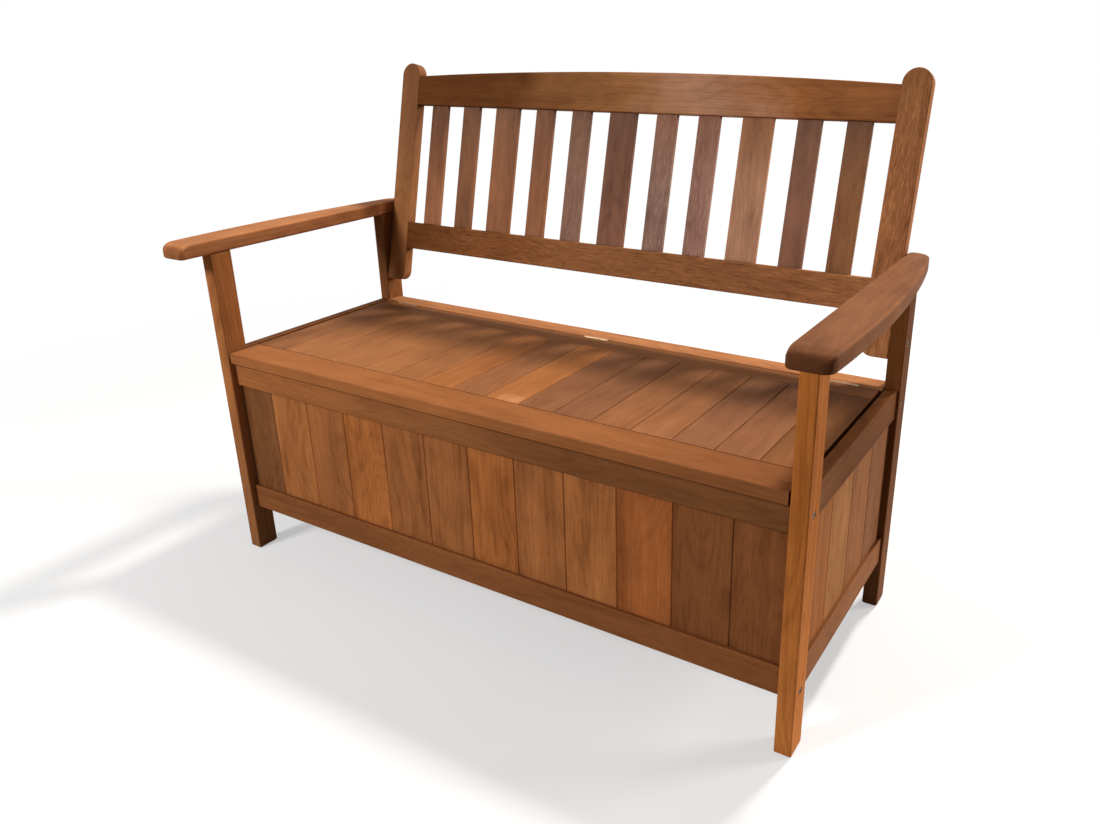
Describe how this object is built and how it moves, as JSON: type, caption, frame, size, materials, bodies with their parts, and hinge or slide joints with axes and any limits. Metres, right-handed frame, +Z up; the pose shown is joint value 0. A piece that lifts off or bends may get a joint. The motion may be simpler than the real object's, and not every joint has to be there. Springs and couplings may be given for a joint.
{
  "type": "garden storage bench",
  "caption": "Wooden garden bench with a leaning slatted back, bowed armrests and a hinged slatted seat lid over a boarded storage chest.",
  "frame": {"origin": "on the floor, under the middle of the whole bench", "axes": "+X along the bench, to the right when seen from the front, +Y from the front to the back, +Z up"},
  "size_m": [1.2, 0.6012, 0.8874],
  "materials": {
    "frame_wood": "oiled, satin",
    "seat_wood": "oiled, satin",
    "chest_boards": "oiled, satin",
    "back_slats": "oiled, satin",
    "steel": "zinc plated"
  },
  "bodies": {
    "frame": {"back_bottom_rail": "frame_wood", "back_slat_01": "back_slats", "back_slat_02": "back_slats", "back_slat_03": "back_slats", "back_slat_04": "back_slats", "back_slat_05": "back_slats", "back_slat_06": "back_slats", "back_slat_07": "back_slats", "back_slat_08": "back_slats", "back_slat_09": "back_slats", "back_slat_10": "back_slats", "back_slat_11": "back_slats", "back_top_rail": "frame_wood", "barrel_nuts": "steel", "dowels": "frame_wood", "floor_boards": "chest_boards", "floor_cleat_front": "frame_wood", "floor_cleat_rear": "frame_wood", "front_boards": "chest_boards", "front_bottom_rail": "frame_wood", "front_left_leg": "frame_wood", "front_right_leg": "frame_wood", "front_top_rail": "frame_wood", "hinge_rail": "frame_wood", "left_armrest": "frame_wood", "left_back_stile": "frame_wood", "left_hinge_frame_leaf": "steel", "left_hinge_pin": "steel", "left_side_boards": "chest_boards", "left_side_bottom_rail": "frame_wood", "left_side_top_rail": "frame_wood", "leg_bolts": "steel", "middle_hinge_frame_leaf": "steel", "middle_hinge_pin": "steel", "rear_boards": "chest_boards", "rear_bottom_rail": "frame_wood", "rear_left_leg": "frame_wood", "rear_right_leg": "frame_wood", "rear_top_rail": "frame_wood", "right_armrest": "frame_wood", "right_back_stile": "frame_wood", "right_hinge_frame_leaf": "steel", "right_hinge_pin": "steel", "right_side_boards": "chest_boards", "right_side_bottom_rail": "frame_wood", "right_side_top_rail": "frame_wood"},
    "lid": {"left_hinge_lid_leaf": "steel", "lid_batten_left": "seat_wood", "lid_batten_middle": "seat_wood", "lid_batten_right": "seat_wood", "lid_front_rail": "seat_wood", "lid_rear_rail": "seat_wood", "lid_slats": "seat_wood", "middle_hinge_lid_leaf": "steel", "right_hinge_lid_leaf": "steel"}
  },
  "joints": [
    {"name": "lid_hinge", "type": "hinge", "parent": "frame", "child": "lid", "pos_m": [0, 0.16135, 0.4058], "axis": [-1, 0, 0], "range_deg": [0, 101]}
  ]
}
